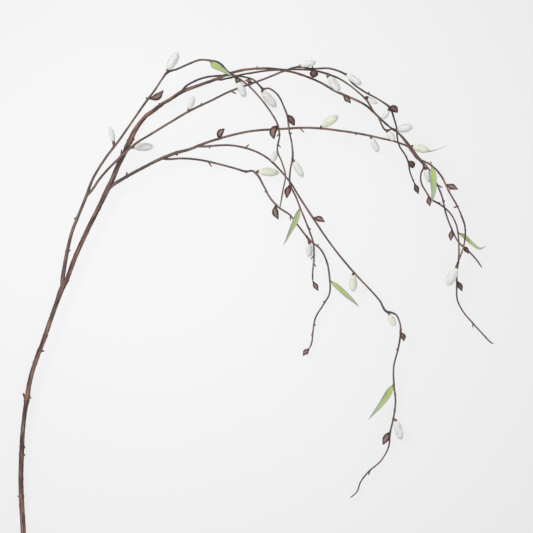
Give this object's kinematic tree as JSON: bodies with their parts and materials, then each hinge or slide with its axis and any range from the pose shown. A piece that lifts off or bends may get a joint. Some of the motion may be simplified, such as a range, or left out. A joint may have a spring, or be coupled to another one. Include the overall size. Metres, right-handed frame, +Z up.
{
  "type": "willow twig",
  "caption": "Weeping pussy willow branch lying flat: brown stem forking into arched, drooping twigs with silky catkins, pointed buds and narrow green leaves.",
  "frame": {"origin": "middle of the box of the lying branch, on the surface it lies on", "axes": "+Y from the cut end of the stem towards the top of the arch, +X towards the drooping twig tips, +Z up from the surface"},
  "size_m": [0.6216, 0.6927, 0.0569],
  "materials": {
    "bark": "smooth grey-brown bark",
    "silk": "silvery silky hair",
    "leaf": "soft satin leaf"
  },
  "bodies": {
    "root": {"main_stem": "bark", "outer_arch_twig": "bark", "inner_arch_twig": "bark", "lower_branch": "bark", "long_hanging_twig": "bark", "low_hanging_twig": "bark", "middle_hanging_twig": "bark", "right_hanging_twig": "bark", "catkin_01": "silk", "catkin_02": "silk", "catkin_03": "silk", "catkin_04": "silk", "catkin_05": "silk", "catkin_06": "silk", "catkin_07": "silk", "catkin_08": "silk", "catkin_09": "silk", "catkin_10": "silk", "catkin_11": "silk", "catkin_12": "silk", "catkin_13": "silk", "catkin_14": "silk", "catkin_15": "silk", "catkin_16": "silk", "catkin_17": "silk", "catkin_18": "silk", "catkin_19": "silk", "catkin_20": "silk", "catkin_21": "silk", "catkin_22": "silk", "catkin_23": "silk", "catkin_24": "silk", "catkin_25": "silk", "leaf_1": "leaf", "leaf_2": "leaf", "leaf_3": "leaf", "leaf_4": "leaf", "leaf_5": "leaf", "leaf_6": "leaf", "leaf_7": "leaf"}
  },
  "joints": []
}
